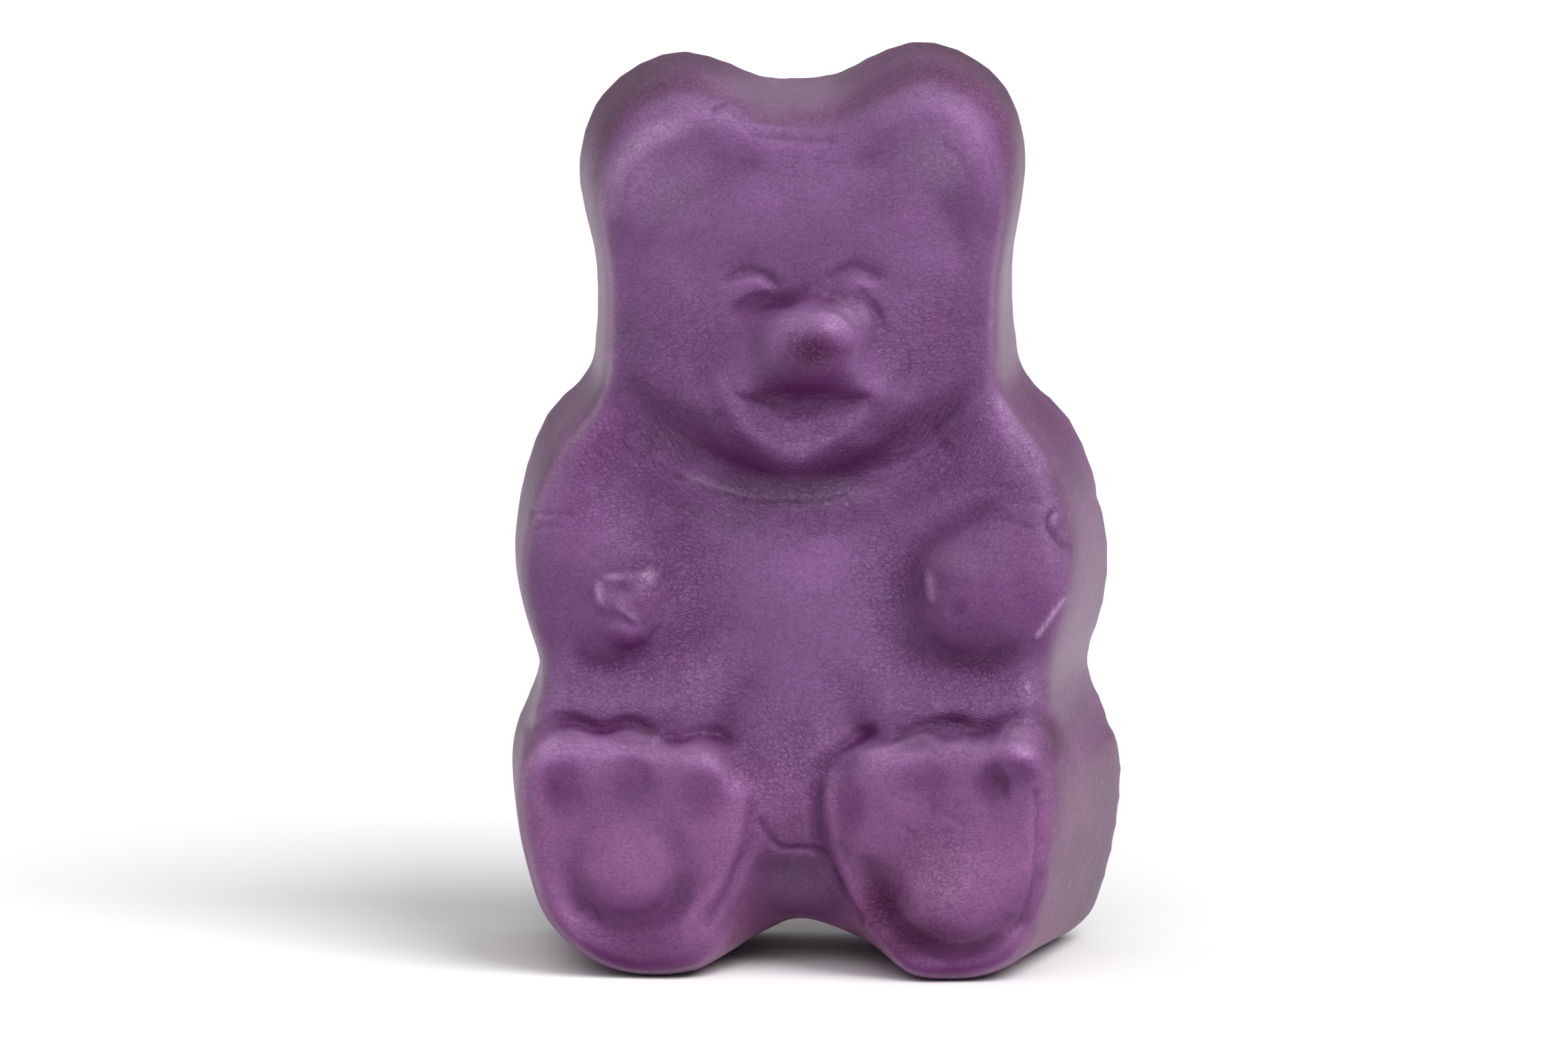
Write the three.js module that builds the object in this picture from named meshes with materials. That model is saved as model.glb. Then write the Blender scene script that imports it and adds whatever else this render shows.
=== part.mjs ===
// A jelly bear sweet, cast in one piece in a starch mould. It sits upright on its feet.
// The front is moulded: a head with two ears, a muzzle, a plain round belly, two arms whose paws point
// forward, and two feet that show their soles. The back is the open side of the mould, so it is flat,
// with a soft edge and shallow sinks where the jelly is thickest.
//
// Millimetres, +Z up, the face towards -Y. The origin is the middle of the base of the bear's box.
//
// The form is a distance field in a straight, even frame: across (x), up (z) and depth from the back (d).
// A net of quads is laid over the outline and traced on to the field, and the whole is then bent a little,
// because the jelly twists as it sets.
import * as THREE from "three";
import { mergeVertices } from "three/addons/utils/BufferGeometryUtils.js";

// ---- Driving dimensions ----

const colour = 0x6e4474;

// Half of the outline, from the middle between the ears, down to the middle between the feet. Each place
// is given twice: on the back, and where the tapering wall has come to at the depth of the soles.
const halfOutline = [
  [0.0, 21.06, 0.0, 20.28], // dip between the ears
  [0.9, 21.12, 0.85, 20.34],
  [1.85, 21.55, 1.75, 20.85],
  [2.95, 21.82, 2.85, 21.22], // top of the ear
  [4.18, 21.41, 3.9, 20.92],
  [5.08, 20.54, 4.68, 20.17], // corner of the ear
  [5.5, 19.1, 4.97, 19.0],
  [5.38, 17.9, 4.85, 17.9],
  [5.15, 16.7, 4.6, 16.7], // side of the head
  [5.17, 14.9, 4.56, 14.8],
  [5.38, 13.9, 4.7, 13.6], // neck
  [6.38, 12.9, 5.6, 12.32],
  [7.0, 11.5, 6.15, 11.1],
  [7.34, 9.5, 6.46, 9.4], // elbow
  [7.16, 8.1, 6.2, 8.35],
  [6.76, 6.85, 5.87, 7.08], // waist
  [7.02, 6.05, 6.1, 5.98],
  [7.5, 4.95, 6.37, 4.92],
  [7.55, 3.9, 6.35, 3.9], // side of the foot
  [7.33, 2.35, 6.1, 2.5],
  [6.98, 1.2, 5.74, 1.35],
  [6.48, 0.45, 5.25, 0.62], // corner of the foot
  [5.9, 0.06, 4.6, 0.18],
  [4.5, -0.08, 3.7, -0.03], // underside of the foot
  [2.7, 0.04, 2.6, 0.07],
  [1.4, 0.52, 1.4, 0.52],
  [0.0, 1.04, 0.0, 1.04], // arch between the feet
];
const taperDepth = 8.0;
const earCorner = 5; // places in halfOutline where the net has its corners
const footCorner = 21;

const body = { depth: 6.0 };
// The lap comes forward above the soles, and meets them in a crease.
const lap = { up: 5.9, tall: 2.6, swell: 1.15, from: 0.6, to: 2.4 };
const crease = { up: 5.85, tall: 0.65, depth: 0.2, fadeFrom: 5.2, fadeTo: 6.6 };
const crotch = {
  up: 4.2, tall: 3.6, swell: 1.25, fadeFrom: 2.4, fadeTo: 3.6,
  stepUp: 2.95, step: 0.2, stepTall: 0.6, slope: 0.15,
};
const belly = { up: 7.6, across: 3.5, tall: 3.9, centre: 3.0, bulge: 3.7, fillet: 1.0 };
const head = {
  up: 15.2, across: 4.8, tall: 3.5, front: 6.45, edge: 1.3, fillet: 0.6,
  widens: 0.7, widenFrom: 13.2, widenTo: 16.0,
};
const skull = { up: 15.6, across: 4.3, tall: 3.9, height: 0.55 };
const neck = { groove: 0.15, away: 0.3, width: 1.1, fadeFrom: 2.4, fadeTo: 4.2 };
// Half of the ridge that runs along the ears and over the crown.
const ridgeLine = [
  [0, 19.95], [0.8, 20.0], [1.5, 20.3], [2.2, 20.62], [2.9, 20.65], [3.55, 20.3], [4.1, 19.7], [4.4, 18.8],
  [4.5, 17.8],
];
const ridge = { halfWidth: 1.0, height: 0.3, from: 17.2, to: 18.6 };
// The plan of the snout, before it is rounded by its corner radius, and its lips.
const snout = {
  corners: [[-1.2, 14.6], [1.2, 14.6], [1.65, 13.9], [1.2, 13.1], [0.0, 12.5], [-1.2, 13.1], [-1.65, 13.9]],
  round: 0.75, front: 7.45, dome: 0.3, domeFade: 0.9, edge: 0.9, fillet: 0.6,
};
// The mouth: the upper lip is an arch, and slopes in and down to a line that is bowed the other way.
const lip = { across: 0.2, up: 13.68, bow: 0.08, arch: 0.5, recess: 0.75, tall: 0.7, halfLength: 1.75 };
const nose = {
  across: 0.15, up: 15.05, halfWidth: 1.2, halfHeight: 1.0, centre: 7.3, bulge: 1.2, fillet: 0.45,
};
const eye = { across: 1.33, up: 16.45, halfWidth: 0.85, halfHeight: 0.5, bulge: 0.18 };
const lid = { up: 16.93, halfWidth: 1.0, halfHeight: 0.35, bow: 0.42, depth: 0.16 }; // crease over the eye
const bridge = { across: 0.75, up: 15.95, halfWidth: 1.05, halfHeight: 0.42, depth: 0.12 };
const upperArm = { from: [6.3, 12.2], to: [6.3, 9.6], radius: 2.5, front: 6.5, edge: 1.5, fillet: 0.9 };
const foreArms = [1.7, 1.85]; // bulge of the left and the right one
const foreArm = { across: 5.2, up: 9.15, halfWidth: 2.6, halfHeight: 2.05, centre: 5.3, fillet: 0.8 };
const paw = { across: 4.0, up: 8.75, radius: 1.05, centre: 6.3, bulge: 0.9, fillet: 0.5 };
// The plan of each sole, before it is rounded by its corner radius. The outer side runs past the wall.
const soles = [
  [
    [-7.6, 4.9], [-6.0, 5.0], [-2.2, 4.85], [-1.75, 4.3], [-1.7, 3.6], [-1.95, 2.4], [-2.6, 1.1],
    [-2.8, -1.2], [-7.6, -1.2],
  ],
  [
    [1.9, 4.4], [2.2, 4.9], [6.2, 5.15], [7.6, 5.1], [7.6, -1.2], [3.3, -1.2], [3.1, 1.0],
    [2.45, 2.2], [2.1, 3.5],
  ],
];
const sole = { round: 0.75, front: 7.95, slope: 0.4, fillet: 0.5 };
const soleEdge = { radius: 0.85, atTop: 0.55, from: 4.2, to: 5.2 };
const heels = [[-3.7, 2.6, 1.4], [4.0, 2.25, 1.65]]; // across, up, radius
const heel = { bulge: 0.35, spread: 1.2, ringDepth: 0.24, ringWidth: 0.75, ringTop: 0.4 };
const knob = { across: 5.65, up: 5.6, radius: 0.75, bulge: 0.35 };
const toes = [[-5.35, 4.5], [-3.7, 4.6], [-2.05, 4.35], [1.75, 4.1], [3.35, 4.6], [4.95, 4.45]];
const toe = { radius: 0.85, depth: 0.1 };

const wallEdge = { radius: 0.38, atEars: 0.95, earsFrom: 16.0, earsTo: 20 }; // between walls and front
const backEdge = 0.16; // radius round the back
const sink = { share: 0.05, fade: 1.4 }; // how far the back sinks, per mm of jelly in front of it
const backPlane = 4.4;

// How the jelly has settled: it leans aside with its height, the more so towards its front,
// and one ear stands higher than the other.
const lean = { perMm: -0.026, from: 4.0 };
const kick = { aside: 0.2, from: 0.3, to: 1.5 }; // the very bottom slips the other way
const twist = { perMm: 0.0074, from: 3.2 };
const roll = { perMm: 0.047, from: 15.5, to: 20.0 };

const columns = 42; // cells of the front net across, and up: both even
const rows = 66;
const wallLevels = [0.0, 0.45, 0.8, 0.95]; // rings of the wall, as shares of its height
const frontInset = 0.34; // from the wall to the rim of the front net
const smoothing = { first: 30, passes: 8, rounds: 5 }; // rounds of evening out the net
const tracing = { steps: 200, stride: 0.75, near: 1e-4, above: 11, aside: 3 };

// ---- Small helpers ----

const { clamp, lerp, smoothstep } = THREE.MathUtils;

function blend(a, b, fillet) {
  const h = Math.max(fillet - Math.abs(a - b), 0) / fillet;
  return Math.min(a, b) - h * h * fillet * 0.25;
}

const cut = (a, b, fillet) => -blend(-a, -b, fillet);

// A soft bump, 1 in its middle and 0 from its radius outwards.
function bump(distance, radius) {
  const s = clamp(1 - (distance / radius) ** 2, 0, 1);
  return s * s;
}

function ellipsoid(x, z, d, across, tall, deep) {
  const near = Math.hypot(x / across, z / tall, d / deep);
  const slope = Math.hypot(x / across ** 2, z / tall ** 2, d / deep ** 2);
  return slope > 0 ? (near * (near - 1)) / slope : -Math.min(across, tall, deep);
}

// A block with upright sides round a plan, and a rounded front edge.
function block(planDistance, rise, edge) {
  const out = planDistance + edge;
  const up = rise + edge;
  return Math.hypot(Math.max(out, 0), Math.max(up, 0)) + Math.min(Math.max(out, up), 0) - edge;
}

function segmentDistance(x, z, a, b) {
  const [bx, bz] = [b[0] - a[0], b[1] - a[1]];
  const t = clamp(((x - a[0]) * bx + (z - a[1]) * bz) / (bx * bx + bz * bz), 0, 1);
  return Math.hypot(x - a[0] - t * bx, z - a[1] - t * bz);
}

// Distance to a closed outline, below 0 inside.
function outlineDistance(x, z, outline) {
  let nearest = Infinity;
  let inside = false;
  for (let i = 0, j = outline.length - 1; i < outline.length; j = i++) {
    const [a, b] = [outline[j], outline[i]];
    nearest = Math.min(nearest, segmentDistance(x, z, a, b));
    if (a[1] > z !== b[1] > z && x < ((b[0] - a[0]) * (z - a[1])) / (b[1] - a[1]) + a[0]) inside = !inside;
  }
  return inside ? -nearest : nearest;
}

// ---- The outline ----

const finePerPlace = 40;

// A closed, even outline: half of it is given, and the other half is its mirror image.
function wholeOutline(half) {
  const mirrored = half.slice(1, -1).reverse().map(([x, z]) => [-x, z]);
  const places = [...half, ...mirrored].map(([x, z]) => new THREE.Vector3(x, z, 0));
  const curve = new THREE.CatmullRomCurve3(places, true, "centripetal");

  // Points spaced evenly along the curve between two places.
  function stretch(from, to, count) {
    const fine = finePerPlace * Math.abs(to - from);
    const points = [];
    for (let i = 0; i <= fine; i++)
      points.push(curve.getPoint(((from + ((to - from) * i) / fine) / places.length + 1) % 1));
    const lengths = [0];
    for (let i = 1; i < points.length; i++)
      lengths.push(lengths[i - 1] + points[i].distanceTo(points[i - 1]));
    return Array.from({ length: count }, (_, k) => {
      const want = (lengths.at(-1) * k) / count;
      const i = clamp(lengths.findIndex((l) => l >= want - 1e-9), 1, points.length - 1);
      const share = (want - lengths[i - 1]) / (lengths[i] - lengths[i - 1]);
      const { x, y } = points[i - 1].clone().lerp(points[i], share);
      return [x, y];
    });
  }

  // Once round from the left ear: top, right, bottom and left.
  const total = places.length;
  return [
    ...stretch(-earCorner, earCorner, columns),
    ...stretch(earCorner, footCorner, rows),
    ...stretch(footCorner, total - footCorner, columns),
    ...stretch(total - footCorner, total - earCorner, rows),
  ];
}

const backOutline = wholeOutline(halfOutline.map(([x, z]) => [x, z]));
const frontOutline = wholeOutline(halfOutline.map(([, , x, z]) => [x, z]));

// ---- The form ----

function headPlan(x, z) {
  const narrow = lerp(1, head.widens, smoothstep(z, head.widenFrom, head.widenTo));
  return ellipsoid(x * narrow, Math.min(z - head.up, 0), 0, head.across, head.tall, head.across);
}

function bodyField(x, z, d) {
  const side = Math.abs(x);
  const aside = smoothstep(side, lap.from, lap.to);
  const thigh = lap.swell * aside * bump(z - lap.up, lap.tall);
  const inner = 1 - smoothstep(side, crease.fadeFrom, crease.fadeTo);
  const fold = crease.depth * aside * inner * bump(z - crease.up, crease.tall);
  const below = crotch.step * smoothstep(crotch.stepUp - z, 0, crotch.stepTall);
  const away = crotch.slope * Math.max(crotch.stepUp - z, 0);
  const middle = 1 - smoothstep(side, crotch.fadeFrom, crotch.fadeTo);
  const between = crotch.swell * middle * bump(z - crotch.up, crotch.tall);
  const front = 1 - smoothstep(side, neck.fadeFrom, neck.fadeTo);
  const groove = neck.groove * front * bump(headPlan(x, z) - neck.away, neck.width);
  const slab = d - (body.depth + Math.max(between, thigh) - below - away - groove);
  const tummy = ellipsoid(x, z - belly.up, d - belly.centre, belly.across, belly.tall, belly.bulge);
  return blend(slab, tummy, belly.fillet) + fold;
}

// Raised eyeballs, each under the crease of its lid, and the hollows beside the bridge of the nose.
function eyeRelief(side, z) {
  const oval = (dx, dz, { halfWidth, halfHeight }) => bump(Math.hypot(dx / halfWidth, dz / halfHeight), 1);
  const dx = side - eye.across;
  const ball = eye.bulge * oval(dx, z - eye.up, eye);
  const crease = lid.depth * oval(dx, z - lid.up + lid.bow * dx * dx, lid);
  const hollow = bridge.depth * oval(side - bridge.across, z - bridge.up, bridge);
  return ball - crease - hollow;
}

// The skull is a low dome. The ears and crown are a ridge round it, with a crescent of dish between.
function headRelief(side, z) {
  const t = clamp(1 - (side / skull.across) ** 2 - ((z - skull.up) / skull.tall) ** 2, 0, 1);
  const dome = skull.height * t * (2 - t);
  let nearest = Infinity;
  for (let i = 1; i < ridgeLine.length; i++)
    nearest = Math.min(nearest, segmentDistance(side, z, ridgeLine[i - 1], ridgeLine[i]));
  return dome + ridge.height * bump(nearest, ridge.halfWidth) * smoothstep(z, ridge.from, ridge.to);
}

function headField(x, z, d) {
  const side = Math.abs(x);
  return block(headPlan(x, z), d - head.front - headRelief(side, z) - eyeRelief(side, z), head.edge);
}

// The upper lip slopes in to the mouth, and the lower one comes forward again towards the chin.
function lipRecess(x, z) {
  const aside = x - lip.across;
  const middle = clamp(1 - (aside / lip.halfLength) ** 2, 0, 1);
  const above = z - lip.up - lip.bow * aside * aside;
  if (above < 0) return lip.recess * middle * Math.exp(above / lip.tall);
  return lip.recess * middle * (1 - smoothstep(above, 0, 0.05 + lip.arch * middle));
}

function snoutField(x, z, d) {
  const plan = outlineDistance(x, z, snout.corners) - snout.round;
  const inner = 1 - Math.exp(Math.min(plan, 0) / snout.domeFade);
  const face = block(plan, d - snout.front - snout.dome * inner + lipRecess(x, z), snout.edge);
  const tip = ellipsoid(
    x - nose.across, z - nose.up, d - nose.centre, nose.halfWidth, nose.halfHeight, nose.bulge);
  return blend(face, tip, nose.fillet);
}

function armField(x, z, d) {
  const side = Math.abs(x);
  const upper = segmentDistance(side, z, upperArm.from, upperArm.to) - upperArm.radius;
  const shoulder = block(upper, d - upperArm.front, upperArm.edge);
  const fore = ellipsoid(
    side - foreArm.across, z - foreArm.up, d - foreArm.centre,
    foreArm.halfWidth, foreArm.halfHeight, foreArms[x < 0 ? 0 : 1],
  );
  const tip = ellipsoid(side - paw.across, z - paw.up, d - paw.centre, paw.radius, paw.radius, paw.bulge);
  return blend(blend(shoulder, fore, foreArm.fillet), tip, paw.fillet);
}

function soleRelief(x, z) {
  let relief = 0;
  for (const [hx, hz, radius] of heels) {
    const from = Math.hypot(x - hx, z - hz);
    const lower = smoothstep(hz + heel.ringTop * radius - z, 0, radius);
    relief += heel.bulge * bump(from, radius * heel.spread);
    relief -= heel.ringDepth * lower * bump(from - radius, heel.ringWidth);
  }
  relief += knob.bulge * bump(Math.hypot(x - knob.across, z - knob.up), knob.radius);
  for (const [tx, tz] of toes) relief -= toe.depth * bump(Math.hypot(x - tx, z - tz), toe.radius);
  return relief;
}

function soleField(x, z, d) {
  const plan = outlineDistance(x, z, soles[x < 0 ? 0 : 1]) - sole.round;
  const high = smoothstep(z, soleEdge.from, soleEdge.to);
  const sloped = plan + lerp(sole.slope, 0, high) * (d - sole.front);
  return block(sloped, d - sole.front - soleRelief(x, z), lerp(soleEdge.radius, soleEdge.atTop, high));
}

// Everything that stands up from the body, before the walls are cut.
function reliefField(x, z, d) {
  let form = bodyField(x, z, d);
  form = blend(form, headField(x, z, d), head.fillet);
  form = blend(form, snoutField(x, z, d), snout.fillet);
  form = blend(form, armField(x, z, d), upperArm.fillet);
  return blend(form, soleField(x, z, d), sole.fillet);
}

function bearField(x, z, d) {
  const taper = Math.max(d / taperDepth, 0);
  const wall = lerp(outlineDistance(x, z, backOutline), outlineDistance(x, z, frontOutline), taper);
  const radius = lerp(wallEdge.radius, wallEdge.atEars, smoothstep(z, wallEdge.earsFrom, wallEdge.earsTo));
  return cut(reliefField(x, z, d), wall, radius * 2);
}

// Steps along a ray from inside or outside until it meets the surface.
function trace(start, direction, reach) {
  let travelled = 0;
  const at = (t) => start.map((v, k) => v + direction[k] * t);
  const sign = Math.sign(bearField(...start)) || 1;
  for (let i = 0; i < tracing.steps && travelled < reach; i++) {
    const gap = sign * bearField(...at(travelled));
    if (gap < tracing.near) break;
    travelled += tracing.stride * gap;
  }
  return at(Math.min(travelled, reach));
}

const frontAt = (x, z) => trace([x, z, tracing.above], [0, 0, -1], tracing.above);

// ---- The net ----

// A grid of points between four sides, evened out. With a height, it is evened out over the surface,
// so that steep parts get their share of the cells.
function net({ top, right, bottom, left }, heightOf) {
  const [across, up] = [top.length - 1, left.length - 1];
  const grid = [];
  for (let r = 0; r <= up; r++) {
    grid.push([]);
    for (let c = 0; c <= across; c++) {
      const [u, v] = [c / across, r / up];
      grid[r].push([0, 1].map((k) =>
        (1 - v) * top[c][k] + v * bottom[c][k] + (1 - u) * left[r][k] + u * right[r][k] -
        (1 - u) * (1 - v) * top[0][k] - u * (1 - v) * top[across][k] -
        (1 - u) * v * bottom[0][k] - u * v * bottom[across][k]));
    }
  }
  relax(grid, smoothing.first, () => 1);
  for (let pass = 0; heightOf && pass < smoothing.passes; pass++) {
    const surface = grid.map((row) => row.map(([x, z]) => heightOf(x, z)));
    relax(grid, smoothing.rounds, (r, c, r2, c2) => {
      const [p, q] = [surface[r][c], surface[r2][c2]];
      return Math.hypot(p[0] - q[0], p[1] - q[1], p[2] - q[2]) / Math.hypot(p[0] - q[0], p[1] - q[1]);
    });
  }
  return grid;
}

// Moves each inner point to the weighted middle of its four neighbours.
function relax(grid, rounds, weightOf) {
  const around = [[-1, 0], [1, 0], [0, -1], [0, 1]];
  for (let round = 0; round < rounds; round++)
    for (let r = 1; r < grid.length - 1; r++)
      for (let c = 1; c < grid[r].length - 1; c++) {
        const weights = around.map(([dr, dc]) => weightOf(r, c, r + dr, c + dc));
        const sum = weights[0] + weights[1] + weights[2] + weights[3];
        grid[r][c] = [0, 1].map((k) =>
          around.reduce((s, [dr, dc], i) => s + (weights[i] / sum) * grid[r + dr][c + dc][k], 0));
      }
}

// A ring of points just inside the wall: from the taper at some depth, moved inwards by a distance.
function ringAt(depthOf, inset) {
  const n = backOutline.length;
  const place = (i, taper) => [0, 1].map((k) => lerp(backOutline[i][k], frontOutline[i][k], taper));
  return backOutline.map((_, i) => {
    const taper = depthOf(i) / taperDepth;
    const [a, b] = [place((i + n - 1) % n, taper), place((i + 1) % n, taper)];
    const length = Math.hypot(b[0] - a[0], b[1] - a[1]);
    const inwards = [(b[1] - a[1]) / length, -(b[0] - a[0]) / length];
    const [x, z] = place(i, taper);
    return [x + inwards[0] * inset, z + inwards[1] * inset, inwards];
  });
}

// The four sides of the net, from a ring.
function sidesOf(ring, step) {
  const n = ring.length;
  const run = (count, place) =>
    Array.from({ length: count / step + 1 }, (_, i) => ring[(place(i * step) + n) % n]);
  return {
    top: run(columns, (i) => i),
    right: run(rows, (i) => columns + i),
    bottom: run(columns, (i) => 2 * columns + rows - i),
    left: run(rows, (i) => n - i),
  };
}

// The front net starts just inside the rounded edge of the wall.
let frontRing = ringAt(() => body.depth, frontInset);
for (let i = 0; i < 3; i++) {
  const depths = frontRing.map(([x, z]) => frontAt(x, z)[2]);
  frontRing = ringAt((k) => depths[k], frontInset);
}
const frontGrid = net(sidesOf(frontRing, 1), frontAt).map((row) => row.map(([x, z]) => frontAt(x, z)));

// Rings of the wall, from the back to the front.
const edgeRing = frontRing.map(([x, z]) => frontAt(x, z));
function wallRing(share) {
  return frontRing.map(([x, z, inwards], i) => {
    const depth = Math.max(share * edgeRing[i][2], backEdge);
    return trace([x, z, depth], [-inwards[0], -inwards[1], 0], tracing.aside);
  });
}
const wallRings = wallLevels.map(wallRing);

// The back net has half the cells of the front one, and sinks behind the thick parts.
function backAt([x, z]) {
  const inside = -outlineDistance(x, z, backOutline);
  const fade = 1 - Math.exp(-Math.max(inside - backEdge, 0) / sink.fade);
  return [x, z, sink.share * frontAt(x, z)[2] * fade];
}
const backGrid = net(sidesOf(ringAt(() => 0, backEdge), 2)).map((row) => row.map(backAt));

// ---- The mesh ----

// Where a point of the straight frame lies once the jelly has settled.
function settle([x, z, d]) {
  const slip = kick.aside * (1 - smoothstep(z, kick.from, kick.to));
  const aside = lean.perMm * (z - lean.from) + twist.perMm * Math.max(z - twist.from, 0) * d + slip;
  const raised = roll.perMm * x * smoothstep(z, roll.from, roll.to);
  return [x + aside, backPlane - d, Math.max(z + raised, 0)];
}

function bearGeometry() {
  const points = [];
  const index = [];
  const put = (p) => points.push(settle(p)) - 1;
  const apart = (a, b) => Math.hypot(...points[a].map((v, k) => v - points[b][k]));
  const quad = (a, b, c, d) =>
    apart(a, c) <= apart(b, d) ? index.push(a, b, c, a, c, d) : index.push(a, b, d, b, c, d);
  const rim = (grid) => [
    ...grid[0].slice(0, -1),
    ...grid.slice(0, -1).map((row) => row.at(-1)),
    ...grid.at(-1).slice(1).reverse(),
    ...grid.slice(1).map((row) => row[0]).reverse(),
  ];

  // Front: columns run across, rows run down.
  const f = frontGrid.map((row) => row.map(put));
  for (let r = 0; r < rows; r++)
    for (let c = 0; c < columns; c++) quad(f[r][c], f[r + 1][c], f[r + 1][c + 1], f[r][c + 1]);

  // Walls: each ring joined to the next, the last to the front.
  const rings = [...wallRings.map((ring) => ring.map(put)), rim(f)];
  const n = backOutline.length;
  for (let k = 0; k + 1 < rings.length; k++)
    for (let i = 0; i < n; i++) {
      const j = (i + 1) % n;
      quad(rings[k][i], rings[k + 1][i], rings[k + 1][j], rings[k][j]);
    }

  // Back: half as fine, joined to the first ring by three triangles for each of its edges.
  const b = backGrid.map((row) => row.map(put));
  for (let r = 0; r + 1 < b.length; r++)
    for (let c = 0; c + 1 < b[r].length; c++) quad(b[r][c], b[r][c + 1], b[r + 1][c + 1], b[r + 1][c]);
  const backRing = rim(b);
  backRing.forEach((near, i) => {
    const next = backRing[(i + 1) % backRing.length];
    const [w0, w1, w2] = [2 * i, 2 * i + 1, (2 * i + 2) % n].map((k) => rings[0][k]);
    index.push(near, w0, w1, near, w1, next, next, w1, w2);
  });

  const geometry = new THREE.BufferGeometry();
  geometry.setAttribute("position", new THREE.Float32BufferAttribute(points.flat(), 3));
  geometry.setIndex(index);
  const merged = mergeVertices(geometry, 1e-4);
  merged.computeBoundingBox();
  const { min, max } = merged.boundingBox;
  merged.translate(-(min.x + max.x) / 2, -(min.y + max.y) / 2, -min.z);
  merged.computeVertexNormals();
  return merged;
}

const jelly = new THREE.MeshStandardMaterial({ color: colour, roughness: 0.42, metalness: 0 });
const bear = new THREE.Mesh(bearGeometry(), jelly);
bear.name = "bear";

const group = new THREE.Group();
group.add(bear);

export default group;
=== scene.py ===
"""A jelly bear sweet, finished for looks.

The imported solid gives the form. The bear here is that form made fine, with the marks that the mould and
handling leave pressed into it, in a satin, crackled, translucent jelly. Marks are given in millimetres as
they lie on the front of the bear: across, towards +X, and up, towards +Z.
"""

import math

import bpy
import numpy as np
from bpy.props import FloatProperty, FloatVectorProperty, IntProperty, PointerProperty
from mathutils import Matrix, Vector, kdtree, noise


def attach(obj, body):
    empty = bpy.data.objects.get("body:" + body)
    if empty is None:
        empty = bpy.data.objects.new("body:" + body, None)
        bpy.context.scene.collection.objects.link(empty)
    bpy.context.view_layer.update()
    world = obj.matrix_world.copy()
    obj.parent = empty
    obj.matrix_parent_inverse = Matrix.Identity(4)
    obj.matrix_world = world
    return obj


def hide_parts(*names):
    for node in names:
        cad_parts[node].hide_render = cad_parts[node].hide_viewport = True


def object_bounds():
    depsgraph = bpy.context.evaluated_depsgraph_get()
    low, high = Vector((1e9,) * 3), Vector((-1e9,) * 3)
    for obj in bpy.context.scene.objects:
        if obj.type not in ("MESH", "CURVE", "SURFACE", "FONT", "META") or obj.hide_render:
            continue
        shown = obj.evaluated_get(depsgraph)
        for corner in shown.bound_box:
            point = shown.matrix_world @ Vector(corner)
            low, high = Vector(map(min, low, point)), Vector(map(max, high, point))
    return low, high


bl_info = {
    "name": "Jelly Bear",
    "version": (1, 0, 0),
    "blender": (4, 5, 0),
    "location": "View3D > Sidebar > Jelly Bear",
    "description": "Finishes a moulded jelly bear and stands it in a plain studio",
    "category": "Object",
}

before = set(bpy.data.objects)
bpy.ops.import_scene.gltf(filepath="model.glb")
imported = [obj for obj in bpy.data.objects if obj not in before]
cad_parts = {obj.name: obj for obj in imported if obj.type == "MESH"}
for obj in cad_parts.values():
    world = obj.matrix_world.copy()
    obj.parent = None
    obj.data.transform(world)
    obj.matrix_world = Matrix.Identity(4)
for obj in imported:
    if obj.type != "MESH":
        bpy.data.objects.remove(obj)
CAD_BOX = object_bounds()
MM = 0.001


# ---- The marks on the front ----


def arc(across, up, radius, start, end, steps=12):
    """Points along an arc, from one angle to another, in degrees from +X towards +Z."""
    angles = [math.radians(start + (end - start) * i / steps) for i in range(steps + 1)]
    return [(across + radius * math.cos(a), up + radius * math.sin(a)) for a in angles]


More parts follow.
